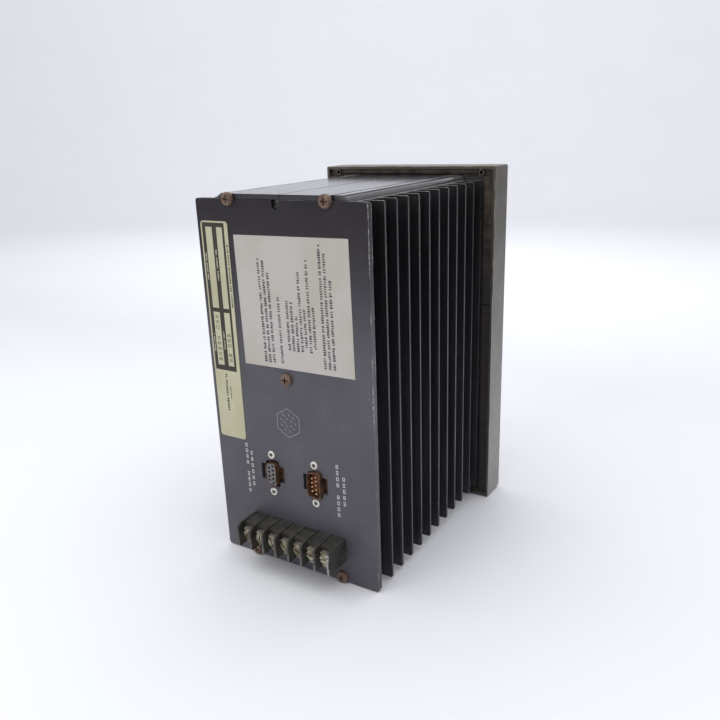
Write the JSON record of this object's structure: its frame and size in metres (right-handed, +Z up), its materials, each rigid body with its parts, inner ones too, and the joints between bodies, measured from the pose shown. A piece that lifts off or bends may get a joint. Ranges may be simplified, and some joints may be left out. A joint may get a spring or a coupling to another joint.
{
  "type": "servo drive",
  "caption": "Panel-mounted servo drive with a deep front bezel, finned side walls, a rear plate with two 9-way connectors, and a screw terminal strip.",
  "frame": {"origin": "centre of the four panel inserts, in the plane of the bezel's rear rim", "axes": "+Z up, +Y to the wiring side (rear), -Y to the operator (front), +X to the operator's right"},
  "size_m": [0.1324, 0.1977, 0.243],
  "materials": {
    "bezel_paint": "aged olive-grey enamel, satin",
    "overlay": "black anodised, satin",
    "window": "smoked red acrylic, gloss",
    "dark_steel": "dark chromate, dull",
    "plated_steel": "bright zinc plate",
    "foam": "aged brown foam rubber",
    "dark_frame": "near-black, semi-gloss",
    "heat_sink": "black anodised, satin",
    "cover": "dark enamel, glossy",
    "rear_paint": "charcoal blue-grey enamel, satin",
    "rusted_steel": "rusted zinc plate",
    "paper_label": "off-white paper film",
    "rating_label": "aged cream foil",
    "chromate_steel": "yellow chromate, dull",
    "grey_moulding": "grey moulding",
    "red_moulding": "red-brown moulding",
    "contact_brass": "gold flash",
    "phenolic": "black phenolic, worn edges",
    "tin_brass": "tinned brass, dull",
    "terminal_brass": "nickel-plated brass, tarnished",
    "board": "green solder mask",
    "digits": "red epoxy",
    "lamp_lens": "red lens",
    "switch_body": "black moulding",
    "lock_chrome": "satin chrome",
    "chip": "black epoxy",
    "core_steel": "varnished laminations",
    "coil_tape": "yellow insulating tape",
    "capacitor": "blue sleeve",
    "keycap": "grey moulding, satin"
  },
  "bodies": {
    "chassis": {"bezel": "bezel_paint", "front_overlay": "overlay", "display_window": "window", "mounting_plate": "dark_steel", "panel_inserts": "plated_steel", "panel_gasket": "foam", "side_frame_left": "dark_frame", "side_frame_right": "dark_frame", "heat_sink_left": "heat_sink", "heat_sink_right": "heat_sink", "top_cover_left": "cover", "top_cover_right": "cover", "bottom_cover": "cover", "centre_divider": "dark_frame", "rear_plate": "rear_paint", "rear_screws": "rusted_steel", "chassis_screws": "dark_steel", "instruction_label": "paper_label", "rating_plate": "rating_label", "output_shell": "chromate_steel", "input_shell": "chromate_steel", "output_insulator": "grey_moulding", "input_insulator": "red_moulding", "output_sockets": "contact_brass", "input_pins": "contact_brass", "jack_nuts": "plated_steel", "terminal_block": "phenolic", "terminal_contacts": "tin_brass", "front_board": "board", "digit_modules": "digits", "status_lamps": "lamp_lens", "key_switches": "switch_body", "lock_body": "lock_chrome", "board_spacers": "contact_brass", "logic_board": "board", "logic_chips": "chip", "transformer_core": "core_steel", "transformer_coil": "coil_tape", "filter_capacitors": "capacitor", "power_transistors": "plated_steel", "rectifier_bridge": "chip"},
    "clamp_1": {"clamp_1": "tin_brass"},
    "terminal_screw_1": {"terminal_screw_1": "terminal_brass"},
    "clamp_2": {"clamp_2": "tin_brass"},
    "terminal_screw_2": {"terminal_screw_2": "terminal_brass"},
    "clamp_3": {"clamp_3": "tin_brass"},
    "terminal_screw_3": {"terminal_screw_3": "terminal_brass"},
    "clamp_4": {"clamp_4": "tin_brass"},
    "terminal_screw_4": {"terminal_screw_4": "terminal_brass"},
    "clamp_5": {"clamp_5": "tin_brass"},
    "terminal_screw_5": {"terminal_screw_5": "terminal_brass"},
    "clamp_6": {"clamp_6": "tin_brass"},
    "terminal_screw_6": {"terminal_screw_6": "terminal_brass"},
    "clamp_7": {"clamp_7": "tin_brass"},
    "terminal_screw_7": {"terminal_screw_7": "terminal_brass"},
    "key_1": {"key_1": "keycap"},
    "key_2": {"key_2": "keycap"},
    "key_3": {"key_3": "keycap"},
    "key_4": {"key_4": "keycap"},
    "lock_cylinder": {"lock_cylinder": "lock_chrome"}
  },
  "joints": [
    {"name": "clamp_1_lift", "type": "slide", "parent": "chassis", "child": "clamp_1", "axis": [0, 1, 0], "range_m": [0, 0.003]},
    {"name": "screw_1_turn", "type": "hinge", "parent": "clamp_1", "child": "terminal_screw_1", "pos_m": [0.02722, 0.164, -0.0902], "axis": [0, -1, 0], "range_deg": [0, 1361.2]},
    {"name": "clamp_2_lift", "type": "slide", "parent": "chassis", "child": "clamp_2", "axis": [0, 1, 0], "range_m": [0, 0.003]},
    {"name": "screw_2_turn", "type": "hinge", "parent": "clamp_2", "child": "terminal_screw_2", "pos_m": [0.0177, 0.164, -0.0902], "axis": [0, -1, 0], "range_deg": [0, 1361.2]},
    {"name": "clamp_3_lift", "type": "slide", "parent": "chassis", "child": "clamp_3", "axis": [0, 1, 0], "range_m": [0, 0.003]},
    {"name": "screw_3_turn", "type": "hinge", "parent": "clamp_3", "child": "terminal_screw_3", "pos_m": [0.00817, 0.164, -0.0902], "axis": [0, -1, 0], "range_deg": [0, 1361.2]},
    {"name": "clamp_4_lift", "type": "slide", "parent": "chassis", "child": "clamp_4", "axis": [0, 1, 0], "range_m": [0, 0.003]},
    {"name": "screw_4_turn", "type": "hinge", "parent": "clamp_4", "child": "terminal_screw_4", "pos_m": [-0.00135, 0.164, -0.0902], "axis": [0, -1, 0], "range_deg": [0, 1361.2]},
    {"name": "clamp_5_lift", "type": "slide", "parent": "chassis", "child": "clamp_5", "axis": [0, 1, 0], "range_m": [0, 0.003]},
    {"name": "screw_5_turn", "type": "hinge", "parent": "clamp_5", "child": "terminal_screw_5", "pos_m": [-0.01087, 0.164, -0.0902], "axis": [0, -1, 0], "range_deg": [0, 1361.2]},
    {"name": "clamp_6_lift", "type": "slide", "parent": "chassis", "child": "clamp_6", "axis": [0, 1, 0], "range_m": [0, 0.003]},
    {"name": "screw_6_turn", "type": "hinge", "parent": "clamp_6", "child": "terminal_screw_6", "pos_m": [-0.0204, 0.164, -0.0902], "axis": [0, -1, 0], "range_deg": [0, 1361.2]},
    {"name": "clamp_7_lift", "type": "slide", "parent": "chassis", "child": "clamp_7", "axis": [0, 1, 0], "range_m": [0, 0.003]},
    {"name": "screw_7_turn", "type": "hinge", "parent": "clamp_7", "child": "terminal_screw_7", "pos_m": [-0.02993, 0.164, -0.0902], "axis": [0, -1, 0], "range_deg": [0, 1361.2]},
    {"name": "key_1_press", "type": "slide", "parent": "chassis", "child": "key_1", "axis": [0, 1, 0], "range_m": [0, 0.0015], "stiffness_N_per_m": 600, "springref_m": -0.0005},
    {"name": "key_2_press", "type": "slide", "parent": "chassis", "child": "key_2", "axis": [0, 1, 0], "range_m": [0, 0.0015], "stiffness_N_per_m": 600, "springref_m": -0.0005},
    {"name": "key_3_press", "type": "slide", "parent": "chassis", "child": "key_3", "axis": [0, 1, 0], "range_m": [0, 0.0015], "stiffness_N_per_m": 600, "springref_m": -0.0005},
    {"name": "key_4_press", "type": "slide", "parent": "chassis", "child": "key_4", "axis": [0, 1, 0], "range_m": [0, 0.0015], "stiffness_N_per_m": 600, "springref_m": -0.0005},
    {"name": "lock_turn", "type": "hinge", "parent": "chassis", "child": "lock_cylinder", "pos_m": [0, -0.018, -0.052], "axis": [0, 1, 0], "range_deg": [0, 90]}
  ],
  "couplings": [
    {"joint": "screw_1_turn", "follows": "clamp_1_lift", "rad_per_m": 7913.3},
    {"joint": "screw_2_turn", "follows": "clamp_2_lift", "rad_per_m": 7913.3},
    {"joint": "screw_3_turn", "follows": "clamp_3_lift", "rad_per_m": 7913.3},
    {"joint": "screw_4_turn", "follows": "clamp_4_lift", "rad_per_m": 7913.3},
    {"joint": "screw_5_turn", "follows": "clamp_5_lift", "rad_per_m": 7913.3},
    {"joint": "screw_6_turn", "follows": "clamp_6_lift", "rad_per_m": 7913.3},
    {"joint": "screw_7_turn", "follows": "clamp_7_lift", "rad_per_m": 7913.3}
  ]
}
